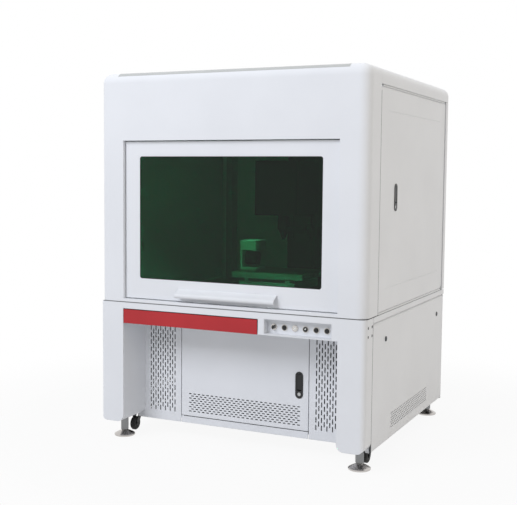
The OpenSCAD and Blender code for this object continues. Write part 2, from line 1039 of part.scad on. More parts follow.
// Quarter-turn lock with a screwdriver slot and a short cam behind the panel
module panel_lock(d) {
    cam_x = skin_x - 15;
    cam_half = panel_lock_r - 2;
    slot_half = 1.2;
    color(dark)
        difference() {
            union() {
                rod_x(skin_x, skin_x + lock_proud, d, panel_lock_z, panel_lock_r + 3);
                rod_x(cam_x, skin_x + eps, d, panel_lock_z, panel_lock_r);
                slab([cam_x, d - cam_half, panel_lock_z - 26], [cam_x + 3, d + cam_half, panel_lock_z]);
            }
            slab([skin_x + slot_half, d - slot_half, panel_lock_z - panel_lock_r],
                 [skin_x + lock_proud + eps, d + slot_half, panel_lock_z + panel_lock_r]);
        }
}

module panel_lock_front() {
    panel_lock(panel_lock_depths[0]);
}

module panel_lock_rear() {
    panel_lock(panel_lock_depths[1]);
}

// Four pads on threaded stems, each with a jam nut under the frame
module levelling_feet() {
    color(steel)
        for (x = [-foot_x, foot_x], d = [foot_front, foot_rear_d])
            translate([x, at(d), 0])
                union() {
                    rotate_extrude()
                        polygon([[0, 0], [pad_r - 2, 0], [pad_r, 2], [pad_r, 8], [pad_r - 6, 12],
                                 [stem_r + 9, pad_h - 4], [stem_r + 5, pad_h], [0, pad_h]]);
                    translate([0, 0, pad_h - eps])
                        cylinder(r = stem_r, h = frame_z - pad_h + eps);
                    translate([0, 0, frame_z - nut_h])
                        cylinder(r = nut_r, h = nut_h, $fn = 6);
                }
}

// Swivel axes as x and depth: the front casters behind their feet, the rear ones inboard of theirs
function front_caster(side) = [side * foot_x, foot_front + caster_step];
function rear_caster(side) = [side * (foot_x - caster_step), foot_rear_d];

// Places a caster on its swivel axis, with its wheel trailing to the front
module caster_place(spot) {
    translate([spot[0], at(spot[1]), 0])
        rotate(180)
            children();
}

// Swivel fork: crown over two cheeks that hold the axle
module caster_fork(spot) {
    color(black)
        caster_place(spot)
            union() {
                translate([0, 0, crown_z])
                    cylinder(r = crown_r, h = crown_h - run);
                for (s = [-1, 1])
                    translate([s * (fork_half - fork_t / 2), 0, 0])
                        rotate([90, 0, 90])
                            linear_extrude(fork_t, center = true)
                                union() {
                                    polygon([[-18, crown_z + 2], [18, crown_z + 2],
                                             [wheel_trail + cheek_r, wheel_z],
                                             [wheel_trail - cheek_r, wheel_z]]);
                                    translate([wheel_trail, wheel_z])
                                        circle(cheek_r);
                                }
                translate([-fork_half, -20, crown_z - fork_t])
                    cube([2 * fork_half, 40, fork_t + 2]);
                translate([-fork_half - fork_t, wheel_trail, wheel_z])
                    rotate([0, 90, 0])
                        cylinder(r = axle_r, h = 2 * (fork_half + fork_t));
            }
}

// Wheel with a hub, a thinner web rim and a chamfered tread
module caster_wheel(spot) {
    half = wheel_w / 2;
    rim = half - 2;
    color(black)
        caster_place(spot)
            translate([0, wheel_trail, wheel_z])
                rotate([0, 90, 0])
                    rotate_extrude()
                        polygon([[axle_r + bore_gap, -half], [wheel_r - 9, -half], [wheel_r - 8, -rim],
                                 [wheel_r - 3, -rim], [wheel_r, 4 - rim], [wheel_r, rim - 4],
                                 [wheel_r - 3, rim], [wheel_r - 8, rim], [wheel_r - 9, half],
                                 [axle_r + bore_gap, half]]);
}

module caster_fork_fl() {
    caster_fork(front_caster(-1));
}

module caster_fork_fr() {
    caster_fork(front_caster(1));
}

module caster_fork_rl() {
    caster_fork(rear_caster(-1));
}

module caster_fork_rr() {
    caster_fork(rear_caster(1));
}

module caster_wheel_fl() {
    caster_wheel(front_caster(-1));
}

module caster_wheel_fr() {
    caster_wheel(front_caster(1));
}

module caster_wheel_rl() {
    caster_wheel(rear_caster(-1));
}

module caster_wheel_rr() {
    caster_wheel(rear_caster(1));
}

// Cabinet unit: a chassis with a front plate and two bow handles
module rack_unit(x0, x1, h) {
    foot_h = 8;
    d0 = unit_d0;
    d1 = unit_d1;
    z0 = frame_z;
    mid = z0 + h / 2;
    bow = 5;
    union() {
        slab([x0, d0, z0 + foot_h], [x1, d1, z0 + h]);
        slab([x0 - 12, d0 - 4, z0 + foot_h], [x1 + 12, d0, z0 + h]);
        for (x = [x0 + 20, x1 - 20], d = [d0 + 10, d1 - 40])
            rod_z(x, d + 15, z0, z0 + foot_h + eps, 15);
        for (x = [x0 + 16, x1 - 16]) {
            slab([x - bow, d0 - 30, mid - 50], [x + bow, d0 - 20, mid + 50]);
            for (s = [-1, 1])
                slab([x - bow, d0 - 30, mid + s * 45 - bow], [x + bow, d0 - 3, mid + s * 45 + bow]);
        }
    }
}

module laser_source() {
    color(dark)
        rack_unit(-unit_half, -unit_half + source_w, source_h);
}

module control_unit() {
    color(grey)
        rack_unit(unit_half - controller_w, unit_half, controller_h);
}

// Table plate on the base frame
module work_deck() {
    color(steel)
        slab([-in_x + 6, 12, deck_under], [in_x - 6, body_d - sheet - 6, deck_z]);
}

// Tube frame inside the hood, with the side door's rebate angle and lower hinge block on the deck
module hood_frame() {
    color(grey) {
        both_sides() {
            slab([hood_post_x0, hood_wrap - hood_tube, deck_z],
                 [hood_post_x1, hood_wrap, hood_rail_z + hood_tube]);
            slab([hood_post_x0, side_d1 - bracket_d, deck_z],
                 [hood_post_x1, hood_back_d, hood_rail_z + hood_tube]);
            slab([hood_post_x0, hood_wrap, hood_rail_z],
                 [hood_post_x1, hood_back_d - hood_tube, hood_rail_z + hood_tube]);
        }
        for (d = [hood_wrap - hood_tube, hood_back_d - hood_tube])
            slab([-hood_post_x0, d, hood_rail_z],
                 [hood_post_x0, d + hood_tube, hood_rail_z + hood_tube]);
        slab([flange_x, side_d0, deck_z], [flange_x + sheet, side_d1, deck_z + rebate_h]);
        difference() {
            slab([flange_x, side_axis_d - hinge_half, deck_z],
                 [skin_x, side_axis_d + hinge_half - 1, deck_z + hinge_h]);
            rod_z(side_axis_x, side_axis_d, deck_z - eps, deck_z + hinge_h + eps, pin_r + bore_gap);
        }
    }
}

// Rounded skin of the front shell before the door opening is cut
module front_skin() {
    corner_x = half_w - edge_r;
    across(-corner_x, corner_x)
        translate([edge_r, 0])
            mirror([1, 0])
                skin_section(hood_z);
    both_sides()
        skin_side(edge_r, hood_wrap, hood_z);
    both_sides()
        translate([corner_x, at(edge_r), 0])
            rotate(-90)
                rotate_extrude(angle = 90)
                    skin_section(hood_z);
    slab([-corner_x, edge_r, roof_z - sheet], [corner_x, hood_wrap, roof_z]);
}

// Front shell with the door opening, its deep jamb, the strut pins and the door's pivot bores
module hood_front() {
    jamb_x = open_w / 2;
    boss_r = door_pin_r + 6;
    color(white)
        difference() {
            union() {
                front_skin();
                slab([-jamb_x - sheet, 0, open_z - sheet], [jamb_x + sheet, hood_wrap, open_top + sheet]);
                both_sides() {
                    rod_x(jamb_x, jamb_x + pin_seat, door_axis_d, door_axis_z, boss_r);
                    slab([hood_post_x1, hood_wrap - sheet, hood_z],
                         [half_w - sheet / 2, hood_wrap, roof_z - edge_r]);
                }
            }
            slab([-jamb_x, -eps, open_z], [jamb_x, hood_wrap + eps, open_top]);
            both_sides()
                rod_x(jamb_x - eps, jamb_x + pin_seat + eps, door_axis_d, door_axis_z,
                      door_pin_r + bore_gap);
            strip_ring(edge_r - strip_t, edge_r + eps, run);
        }
    color(white)
        both_sides()
            rod_x(strut_x - strut_eye / 2, jamb_x + sheet, strut_fix_d, strut_fix_z, strut_pin_r);
}

// Sector of the top front edge between two radii, for the strip and its seat
module strip_ring(r0, r1, gap) {
    x1 = strip_w / 2 + gap;
    across(-x1, x1)
        translate([edge_r, roof_z - edge_r])
            difference() {
                intersection() {
                    circle(r1);
                    polygon([[0, 0], [-edge_r * 2, edge_r * 1.7], [-edge_r * 2, edge_r * 3],
                             [0, edge_r * 3]]);
                }
                circle(r0);
            }
}

// Grey strip let into the top front edge
module top_strip() {
    color(grey)
        strip_ring(edge_r - strip_t, edge_r, 0);
}

// Roof channel with the fixed band over each side
module hood_roof() {
    roof_d0 = hood_wrap + 1;
    color(white)
        difference() {
            union() {
                both_sides() {
                    skin_side(roof_d0, body_d, band_z);
                    slab([flange_x, roof_d0, band_z], [half_w - sheet / 2, body_d - sheet, band_z + sheet]);
                }
                slab([-half_w + edge_r, roof_d0, roof_z - sheet], [half_w - edge_r, body_d, roof_z]);
            }
            rod_z(side_axis_x, side_axis_d, band_z - eps, band_z + sheet + eps, pin_r + bore_gap);
        }
}

// Rear panel with returns round the rear corners
module hood_back_panel() {
    fold_z = band_z - 1;
    color(white)
        union() {
            slab([-half_w, body_d - sheet, hood_z], [half_w, body_d, fold_z]);
            slab([-hood_post_x1, body_d - sheet, fold_z], [hood_post_x1, body_d, roof_z - sheet]);
            both_sides() {
                slab([in_x, body_d - rear_return, hood_z], [half_w, body_d, fold_z]);
                through(body_d - sheet, body_d)
                    translate([hood_post_x1, 0])
                        edge_section(edge_r - sheet - run, fold_z, roof_z - sheet - run);
            }
        }
}

// Fixed left side panel of the hood
module hood_side_left() {
    color(white)
        mirror([1, 0, 0])
            union() {
                side_pan(side_d0, side_d1, hood_z, side_z1, side_door_t);
                slab([hood_post_x1, side_d1 - bracket_d, hood_z],
                     [skin_x - side_door_t, side_d1, side_z1]);
            }
}

// Side door: a rolled-edge pan on two pivot pins at its rear edge, with two faint pressed lines
module side_door() {
    press_w = 5;
    press_deep = 0.8;
    notch_d = side_axis_d - hinge_half - seam;
    notch_z = deck_z + hinge_h + seam / 2;
    color(white)
        union() {
            difference() {
                rolled_block(side_d0, side_d1, side_z0, side_z1, side_door_t, 0);
                rolled_block(side_d0, side_d1 - 2 * pivot_in, side_z0, side_z1, side_door_t + eps, sheet);
                side_lock_place()
                    lock_cutout();
                for (z = [side_z0 + press_in, side_z1 - press_in])
                    slab([skin_x - press_deep, side_d0 + press_in, z - press_w / 2],
                         [skin_x + eps, side_d1 - press_in, z + press_w / 2]);
                slab([skin_x - 2 * side_door_t, notch_d, deck_z], [half_w, side_d1 + eps, notch_z]);
            }
            rod_z(side_axis_x, side_axis_d, side_z1 - panel_roll, band_z + sheet + 6, pin_r);
            rod_z(side_axis_x, side_axis_d, deck_z + 2, notch_z + eps, pin_r);
        }
}

// Flip-up front door: a folded pan, open behind, round a frame that holds the pane
module front_door() {
    back = door_recess + door_t;
    rim = pane_lap + sheet;
    color(white)
        union() {
            difference() {
                slab([-door_half, door_recess, door_z], [door_half, back, door_top]);
                difference() {
                    slab([-door_half + sheet, door_recess + sheet, door_z + sheet],
                         [door_half - sheet, back + eps, door_top - sheet]);
                    slab([-window_w / 2 - rim, door_recess, window_z - rim],
                         [window_w / 2 + rim, back, window_z + window_h + rim]);
                }
                through(door_recess - eps, back + eps)
                    translate([-window_w / 2, window_z])
                        round_rect(window_w, window_h, window_r);
                pane_slab();
            }
            both_sides() {
                rod_x(door_half - pin_seat, open_w / 2 + pin_seat - 2, door_axis_d, door_axis_z, door_pin_r);
                slab([stud_x0, door_recess + sheet / 2, stud_z - 12],
                     [stud_x0 + stud_plate, stud_d + 10, stud_z + 12]);
                rod_x(stud_x0, strut_x - strut_eye / 2 - 2, stud_d, stud_z, strut_pin_r);
            }
        }
}

// Pane with its hidden edges, and the rebate that holds it
module pane_slab() {
    pane_d = door_recess + sheet;
    slab([-pane_half, pane_d, window_z - pane_lap],
         [pane_half, pane_d + pane_t, window_z + window_h + pane_lap]);
}

// Green laser-safety pane
module window_pane() {
    color(green)
        pane_slab();
}

// Bent-sheet pull: a face that slopes out from the door and curls under, open below and at its ends
module door_handle() {
    r = handle_bend_r;
    bend = [r - handle_proud, handle_z + 0.8 * r];
    top = [door_recess, handle_z + handle_h];
    turn = atan2(top[1] - bend[1], top[0] - bend[0]) + acos(r / norm(top - bend));
    n = [cos(turn), sin(turn)];
    low = bend[1] + (r - handle_t - (door_recess - bend[0]) * n[0]) / n[1];
    color(white)
        across(-handle_w / 2, handle_w / 2)
            union() {
                polygon([top, bend + r * n, bend + (r - handle_t) * n, [door_recess, low]]);
                translate(bend)
                    difference() {
                        intersection() {
                            circle(r);
                            polygon([[0, 0], 3 * r * n, [-4 * r, 0], [-1.8 * r, -2.4 * r]]);
                        }
                        circle(r - handle_t);
                    }
            }
}

// Places a strut with its own +Z pointing from the shell's pivot to the door's pivot
module strut_place() {
    both_sides()
        translate([strut_x, at(strut_fix_d), strut_fix_z])
            rotate([strut_lean, 0, 0])
                children();
}

// Flat eye with a bore along X
module strut_end(z) {
    translate([-strut_eye / 2, 0, z])
        rotate([0, 90, 0])
            cylinder(r = strut_pin_r + 5, h = strut_eye);
}

// Gas cylinders, open at the top for the rods
module strut_cylinders() {
    color(black)
        strut_place()
            difference() {
                union() {
                    strut_end(0);
                    cylinder(r = strut_r, h = cylinder_len);
                }
                translate([-strut_r - eps, 0, 0])
                    rotate([0, 90, 0])
                        cylinder(r = strut_pin_r + bore_gap, h = 2 * strut_r + 2 * eps);
                translate([0, 0, cylinder_len - rod_tail])
                    cylinder(r = rod_r + bore_gap, h = rod_tail + eps);
                for (s = [-1, 1])
                    translate([s * (strut_eye / 2 + strut_r) - strut_r, -2 * strut_r, -2 * strut_r])
                        cube([2 * strut_r, 4 * strut_r, 4 * strut_r]);
            }
}

// Piston rods with their upper eyes
module strut_rods() {
    color(steel)
        strut_place()
            difference() {
                union() {
                    translate([0, 0, cylinder_len - rod_tail + 5])
                        cylinder(r = rod_r, h = strut_len - cylinder_len + rod_tail - 5 - strut_pin_r - 2);
                    strut_end(strut_len);
                }
                translate([-strut_eye, 0, strut_len])
                    rotate([0, 90, 0])
                        cylinder(r = strut_pin_r + bore_gap, h = 2 * strut_eye);
            }
}

// Linear guide rail along X or Y, drawn in section with waisted sides
module guide_section() {
    polygon([[-guide_w / 2, 0], [guide_w / 2, 0], [guide_w / 2, 4], [guide_w / 2 - 4, 7],
             [guide_w / 2, 10], [guide_w / 2, guide_t], [-guide_w / 2, guide_t], [-guide_w / 2, 10],
             [-guide_w / 2 + 4, 7], [-guide_w / 2, 4]]);
}

// Bed of the X slide with its two guide rails
module stage_base() {
    color(dark)
        union() {
            slab([stage_x - base_half, stage_depth - table_d / 2, deck_z],
                 [stage_x + base_half, stage_depth + table_d / 2, deck_z + base_h]);
            for (s = [-1, 1])
                across(stage_x - base_half, stage_x + base_half)
                    translate([stage_depth + s * guide_span, deck_z + base_h - 0.5])
                        guide_section();
        }
}

// Saddle between the two slides, with the Y rails on top
module stage_saddle() {
    color(steel)
        union() {
            slab([stage_x - saddle_half, stage_depth - table_d / 2, saddle_z + run],
                 [stage_x + saddle_half, stage_depth + table_d / 2, saddle_top]);
            for (s = [-1, 1])
                through(stage_depth - table_d / 2, stage_depth + table_d / 2)
                    translate([stage_x + s * (saddle_half - 40), saddle_top - 0.5])
                        guide_section();
        }
}

// Work table with T-slots
module stage_table() {
    slots = 5;
    slot_half = 4.5;
    slot_d = 16;
    color(grey)
        difference() {
            slab([stage_x - table_w / 2, stage_depth - table_d / 2, table_under],
                 [stage_x + table_w / 2, stage_depth + table_d / 2, table_z]);
            for (i = [0 : slots - 1]) {
                d = stage_depth + (i - (slots - 1) / 2) * table_d / slots;
                slab([stage_x - table_w, d - slot_half, table_z - slot_d],
                     [stage_x + table_w, d + slot_half, table_z + eps]);
                slab([stage_x - table_w, d - 2 * slot_half, table_z - slot_d],
                     [stage_x + table_w, d + 2 * slot_half, table_z - slot_d / 2]);
            }
        }
}

// Clamp and drive unit on the left end of the table
module work_fixture() {
    x0 = stage_x - table_w / 2;
    x1 = x0 + 84;
    d0 = stage_depth - 60;
    d1 = stage_depth + 60;
    top = table_z + 146;
    drive_z = table_z + 56;
    color(steel)
        union() {
            slab([x0, d0, table_z], [x1, d1, table_z + 12]);
            slab([x0, d0, table_z], [x0 + 10, d1, top]);
            slab([x0, d0, top - 46], [x1, d1, top]);
            rod_x(x0 + 5, x1 - 14, stage_depth, drive_z, 34);
            rod_x(x0 + 5, x1 - 6, stage_depth, drive_z, 14);
        }
}

// Upright column with the two guide rails of the head
module z_column() {
    column_top = head_z + head_h + head_up + 40;
    rail_z0 = head_z - head_down - 20;
    rail_x = column_half - 25;
    sole = 40;
    sole_t = 25;
    color(dark)
        union() {
            slab([stage_x - column_half - sole, column_d0 - sole / 2, deck_z],
                 [stage_x + column_half + sole, column_d1 + sole, deck_z + sole_t]);
            slab([stage_x - column_half, column_d0, deck_z],
                 [stage_x + column_half, column_d1, column_top]);
            for (s = [-1, 1])
                translate([stage_x + s * rail_x, at(column_d0) + 0.5, rail_z0])
                    rotate(180)
                        linear_extrude(column_top - rail_z0)
                            guide_section();
        }
}

// Head on its carriage: optics housing, focusing tube with nozzle, and the side camera
module welding_head() {
    carriage_d = column_d0 - guide_t - run;
    housing_x1 = stage_x + head_w / 2;
    nozzle_d = head_d0 + 50;
    nozzle_x = stage_x + 22;
    tube_z = head_z - 70;
    camera_x = housing_x1 + 50;
    color(dark)
        union() {
            slab([stage_x - column_half, carriage_d - carriage_t, head_z],
                 [stage_x + column_half, carriage_d, head_z + head_h]);
            slab([stage_x - head_w / 2, head_d0, head_z],
                 [housing_x1, carriage_d - carriage_t + eps, head_z + head_h]);
            rod_z(nozzle_x, nozzle_d, tube_z, head_z + eps, 30);
            translate([nozzle_x, at(nozzle_d), tube_z - 50])
                cylinder(r1 = 6, r2 = 26, h = 50 + eps);
            slab([nozzle_x + 20, nozzle_d - 14, tube_z - 16], [camera_x + 20, nozzle_d + 14, tube_z + 12]);
            rod_z(camera_x, nozzle_d, tube_z - 20, tube_z + 30, 18);
        }
}

base_frame();
front_fascia();
knee_grilles();
floor_pan();
side_panel_right();
side_panel_left();
back_panel();
side_trims();
lower_door();
lower_lock_body();
lower_lock_lever();
lower_lock_button();
keyboard_tray();
drawer_front();
drawer_rails();
control_panel();
button_bezels();
metal_bezels();
key_switch();
power_button();
pilot_lamp();
mode_selector();
start_button();
stop_button();
panel_lock_front();
panel_lock_rear();
bracket_nuts();
levelling_feet();
caster_fork_fl();
caster_fork_fr();
caster_fork_rl();
caster_fork_rr();
caster_wheel_fl();
caster_wheel_fr();
caster_wheel_rl();
caster_wheel_rr();
laser_source();
control_unit();
work_deck();
hood_frame();
hood_front();
top_strip();
hood_roof();
hood_back_panel();
hood_side_left();
side_door();
side_lock_body();
side_lock_lever();
side_lock_button();
front_door();
window_pane();
door_handle();
strut_cylinders();
strut_rods();
stage_base();
stage_saddle();
stage_table();
work_fixture();
z_column();
welding_head();
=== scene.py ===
# %% [markdown]
# # An enclosed laser welding machine
# A white sheet-metal hood with a green laser-safety window stands on a cabinet base.
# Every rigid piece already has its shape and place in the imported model, so this lesson loads that
# model as a fixed frame, finishes its surfaces, models the few pieces of trim that it lacks, and sets
# up the light and the camera.

import math

import bpy
from mathutils import Matrix, Vector


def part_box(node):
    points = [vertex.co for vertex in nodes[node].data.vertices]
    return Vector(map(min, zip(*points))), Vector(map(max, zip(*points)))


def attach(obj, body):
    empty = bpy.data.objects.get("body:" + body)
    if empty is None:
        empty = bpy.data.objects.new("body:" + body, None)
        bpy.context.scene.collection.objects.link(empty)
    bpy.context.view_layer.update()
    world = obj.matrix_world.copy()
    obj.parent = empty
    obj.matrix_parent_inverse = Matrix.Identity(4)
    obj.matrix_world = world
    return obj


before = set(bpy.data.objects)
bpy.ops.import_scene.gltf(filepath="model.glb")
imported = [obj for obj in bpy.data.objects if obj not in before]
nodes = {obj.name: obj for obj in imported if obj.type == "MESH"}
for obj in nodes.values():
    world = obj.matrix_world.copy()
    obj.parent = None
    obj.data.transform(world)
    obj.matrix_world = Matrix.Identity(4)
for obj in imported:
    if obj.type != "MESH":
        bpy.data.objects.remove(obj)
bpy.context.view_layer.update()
bpy.ops.object.select_all(action="DESELECT")

# %% [markdown]
# ## Tools for the materials
# Colours are picked as sRGB hex values, as a paint chart gives them, but a shader works in linear
# light. One function converts them. Another adds a shader node, sets its values and makes its links,
# which keeps each material short enough to read in one go.


# %% Colour and node helpers
MM = 0.001


def linear(hex_code):
    """The linear RGBA colour of an sRGB hex value such as "#e6e8ec"."""
    rgb = []
    for start in (1, 3, 5):
        c = int(hex_code[start : start + 2], 16) / 255
        rgb.append(c / 12.92 if c <= 0.04045 else ((c + 0.055) / 1.055) ** 2.4)
    return (*rgb, 1.0)


def add(material, kind, values=None, links=None):
    """Adds one shader node to a material, with its settings, socket values and incoming links."""
    made = material.node_tree.nodes.new("ShaderNode" + kind)
    for name, value in (values or {}).items():
        if hasattr(made, str(name)):
            setattr(made, name, value)
        else:
            made.inputs[name].default_value = value
    for name, socket in (links or {}).items():
        material.node_tree.links.new(socket, made.inputs[name])
    return made


def new_material(name):
    """An empty node material, with its output and its object coordinates in metres."""
    material = bpy.data.materials.new(name)
    material.use_nodes = True
    material.node_tree.nodes.clear()
    output = add(material, "OutputMaterial")
    place = add(material, "TexCoord").outputs["Object"]
    return material, output.inputs["Surface"], place


def show(material, surface, shader):
    """Links a finished shader to the material's surface."""
    material.node_tree.links.new(shader.outputs[0], surface)
    return material


print("helpers ready, white is", [round(c, 3) for c in linear("#e6e8ec")])

# %% [markdown]
# ## Powder coat
# The sheet metal is powder coated: a thick satin film with a very fine orange-peel skin. The eye sees
# an even colour that drifts a little from place to place, and soft broken highlights. A broad noise
# mixes two close tones, a fine noise gives the skin, and a narrow bevel in the shading stands for the
# radius that every fold of sheet has.


# %% Powder coat
def folded_skin(material, height, fold_mm, strength, depth_mm):
    """A normal that rounds the edges to fold_mm and adds a relief of depth_mm from a height pattern."""
    fold = add(material, "Bevel", {"samples": 4, "Radius": fold_mm * MM})
    relief = {"Strength": strength, "Distance": depth_mm * MM}
    bump = add(material, "Bump", relief, {"Height": height, "Normal": fold.outputs["Normal"]})
    return bump.outputs["Normal"]


def powder_coat(name, tone, shade, roughness):
    """Satin powder coat that drifts between two close tones."""
    material, surface, place = new_material(name)
    # Real orange peel is 1 to 2 mm wide, too fine to show here, so its waves are drawn wider
    patch_w, wave_w = 350 * MM, 4 * MM
    patches = {"Scale": 1 / patch_w, "Detail": 3, "Roughness": 0.6}
    drift = add(material, "TexNoise", patches, {"Vector": place}).outputs["Fac"]
    spread = add(material, "MapRange", {"From Min": 0.35, "From Max": 0.65}, {"Value": drift})
    tones = {"data_type": "RGBA", "A": linear(tone), "B": linear(shade)}
    colour = add(material, "Mix", tones, {"Factor": spread.outputs["Result"]})
    sheen = {"To Min": roughness - 0.04, "To Max": roughness + 0.04}
    gloss = add(material, "MapRange", sheen, {"Value": drift})
    skin = add(material, "TexNoise", {"Scale": 1 / wave_w, "Detail": 2}, {"Vector": place})
    shader = add(
        material,
        "BsdfPrincipled",
        {"IOR": 1.5},
        {
            "Base Color": colour.outputs["Result"],
            "Roughness": gloss.outputs["Result"],
            "Normal": folded_skin(material, skin.outputs["Fac"], fold_mm=2, strength=0.12, depth_mm=0.15),
        },
    )
    return show(material, surface, shader)


white_coat = powder_coat("white_powder_coat", "#e8eaee", "#e5e7eb", 0.42)
strip_coat = powder_coat("pale_grey_powder_coat", "#bcbebd", "#b6b8b7", 0.45)
grey_coat = powder_coat("grey_powder_coat", "#b0b2b1", "#a8aaa9", 0.45)
dark_coat = powder_coat("charcoal_machine_paint", "#3a3d40", "#323537", 0.40)
black_coat = powder_coat("black_powder_coat", "#202123", "#18191a", 0.45)
red_coat = powder_coat("red_powder_coat", "#b8262d", "#ad2128", 0.40)
coats = (white_coat, strip_coat, grey_coat, dark_coat, black_coat, red_coat)
print("coats:", [coat.name for coat in coats])

# %% [markdown]
# ## Bare and plated metal
# The work table is machined aluminium, the deck and the drawer's slides are ground steel, and the nuts
# of the feet are plated with dull zinc. Such a face shows fine parallel lines, so a noise is stretched
# along the cut and drives both the roughness and a slight bump. The strut rods and the bright rings are
# polished steel, which has no direction, so there the noise isn't stretched.


# %% Metals
def cut_metal(name, tone, roughness, line_mm=2, stretch=(0.04, 1.0, 1.0)):
    """Metal with tool lines; a small number in stretch draws them out along that axis."""
    material, surface, place = new_material(name)
    along = add(material, "Mapping", {"Scale": stretch}, {"Vector": place}).outputs["Vector"]
    # Ground lines are far below 1 mm, so they are drawn wider to show at all
    lines = add(material, "TexNoise", {"Scale": 1 / (line_mm * MM), "Detail": 3}, {"Vector": along})
    sheen = {"To Min": roughness - 0.08, "To Max": roughness + 0.08}
    gloss = add(material, "MapRange", sheen, {"Value": lines.outputs["Fac"]})
    skin = folded_skin(material, lines.outputs["Fac"], fold_mm=1, strength=0.10, depth_mm=0.1)
    shader = add(
        material,
        "BsdfPrincipled",
        {"Base Color": linear(tone), "Metallic": 1.0},
        {"Roughness": gloss.outputs["Result"], "Normal": skin},
    )
    return show(material, surface, shader)


machined_aluminium = cut_metal("machined_aluminium", "#c6c8ca", 0.38)
ground_steel = cut_metal("ground_steel", "#b4b5b6", 0.36)
polished_steel = cut_metal("polished_steel", "#c9c6c2", 0.16, line_mm=6, stretch=(1.0, 1.0, 1.0))
black_zinc = cut_metal("black_zinc_plate", "#46484b", 0.45)
zinc_plate = cut_metal("dull_zinc_plate", "#838485", 0.34)
dark_anodised = cut_metal("dark_anodised_aluminium", "#2c2e31", 0.42)
metals = (machined_aluminium, ground_steel, polished_steel, black_zinc, zinc_plate, dark_anodised)
print("metals:", [metal.name for metal in metals])

# %% [markdown]
# ## Levelling feet
# Each foot is turned from steel, polished and plated: a pad, and a stem with a rolled thread. The thread
# is too fine to model, so it is a bump on the free length of the stem alone. A wave texture that runs
# along Z repeats every 2 pi / 20 of its scaled length, which turns a thread pitch into a scale.

# %% Plated feet with threaded stems
plated_foot, surface, place = new_material("polished_plated_steel")
thread_pitch, thread_h, smear_w = 2.5 * MM, 1 * MM, 30 * MM
stem_low, stem_high = 32 * MM, 89 * MM
height = add(plated_foot, "SeparateXYZ", None, {"Vector": place}).outputs["Z"]
stem = {"operation": "COMPARE", 1: (stem_low + stem_high) / 2, 2: (stem_high - stem_low) / 2}
on_stem = add(plated_foot, "Math", stem, {0: height}).outputs["Value"]
bands = {"bands_direction": "Z", "Scale": 2 * math.pi / 20 / thread_pitch}
thread = add(plated_foot, "TexWave", bands, {"Vector": place}).outputs["Fac"]
cut = add(plated_foot, "Math", {"operation": "MULTIPLY"}, {0: thread, 1: on_stem}).outputs["Value"]
bump = add(plated_foot, "Bump", {"Strength": 1.0, "Distance": thread_h}, {"Height": cut})
# Handling leaves dull patches a few centimetres wide on the plating
smear = add(plated_foot, "TexNoise", {"Scale": 1 / smear_w, "Detail": 2}, {"Vector": place})
gloss = add(plated_foot, "MapRange", {"To Min": 0.08, "To Max": 0.26}, {"Value": smear.outputs["Fac"]})
shader = add(
    plated_foot,
    "BsdfPrincipled",
    {"Base Color": linear("#c4c0bd"), "Metallic": 1.0},
    {"Roughness": gloss.outputs["Result"], "Normal": bump.outputs["Normal"]},
)
show(plated_foot, surface, shader)
print("feet:", plated_foot.name, "with a pitch of", thread_pitch / MM, "mm")

# %% [markdown]
# ## Moulded plastic and rubber
# Locks and push-buttons are moulded black plastic with a fine spark-eroded grain. The caster treads
# and the window's seal are duller rubber, and the lamp's dome is smooth and milky. The joint cords take
# the same dull finish: dark grey as painted shade, and white as painted highlight.


# %% Plastics
def moulded(name, tone, roughness, grain_mm=1.5, strength=0.2):
    """Moulded plastic or rubber with an eroded grain."""
    material, surface, place = new_material(name)
    # Eroded grain is about 0.1 mm wide, too fine to show here, so it is drawn wider
    grain = add(material, "TexNoise", {"Scale": 1 / (grain_mm * MM), "Detail": 2}, {"Vector": place})
    sheen = {"To Min": roughness - 0.08, "To Max": roughness + 0.08}
    gloss = add(material, "MapRange", sheen, {"Value": grain.outputs["Fac"]})
    skin = folded_skin(material, grain.outputs["Fac"], fold_mm=0.8, strength=strength, depth_mm=0.1)
    shader = add(
        material,
        "BsdfPrincipled",
        {"Base Color": linear(tone), "IOR": 1.49},
        {"Roughness": gloss.outputs["Result"], "Normal": skin},
    )
    return show(material, surface, shader)


black_plastic = moulded("black_moulded_plastic", "#161719", 0.42)
white_plastic = moulded("white_moulded_plastic", "#eeeeea", 0.35)
lamp_plastic = moulded("milky_lamp_plastic", "#eceae4", 0.25, strength=0.05)
tread_rubber = moulded("black_tread_rubber", "#1c1c1c", 0.70, grain_mm=3)
seal_rubber = moulded("black_seal_rubber", "#111412", 0.60)
# Painted shade: a dark grey cord is laid where shade falls in the upright joints of the sheet
painted_shade_cord = moulded("painted_shade_cord_grey", "#3a3c3e", 0.60)
# Painted highlight: a white cord is laid where light catches the level joints of the door
painted_highlight_cord = moulded("painted_highlight_cord_white", "#e2e4e6", 0.60)
plastics = (black_plastic, white_plastic, lamp_plastic, tread_rubber)
rubber_and_painted_cords = (seal_rubber, painted_shade_cord, painted_highlight_cord)
print("plastics and rubbers:", [made.name for made in plastics + rubber_and_painted_cords])

# %% [markdown]
# ## Safety window
# The window is a laser-safety sheet: clear acrylic dyed a deep green, which passes a little of the
# chamber's light and reflects the room only faintly, because its face is hard coated against glare.
# The shader tints the light half as it enters and half as it leaves, so the base colour is what the
# whole sheet passes.

# %% Laser-safety window
safety_green, surface, place = new_material("green_safety_acrylic")
# Cast sheet is slightly uneven over a hand's width, which bends the faint reflections
ripple_w, ripple_h = 120 * MM, 0.5 * MM
ripple = add(safety_green, "TexNoise", {"Scale": 1 / ripple_w, "Detail": 1}, {"Vector": place})
uneven = {"Strength": 0.02, "Distance": ripple_h}
bump = add(safety_green, "Bump", uneven, {"Height": ripple.outputs["Fac"]})
shader = add(
    safety_green,
    "BsdfPrincipled",
    {
        "Base Color": linear("#30905a"),
        "Roughness": 0.02,
        # Acrylic has 1.49; the lower value stands for the coating, which about halves the reflection
        "IOR": 1.3,
        "Transmission Weight": 1.0,
    },
    {"Normal": bump.outputs["Normal"]},
)
show(safety_green, surface, shader)
print("window:", safety_green.name)

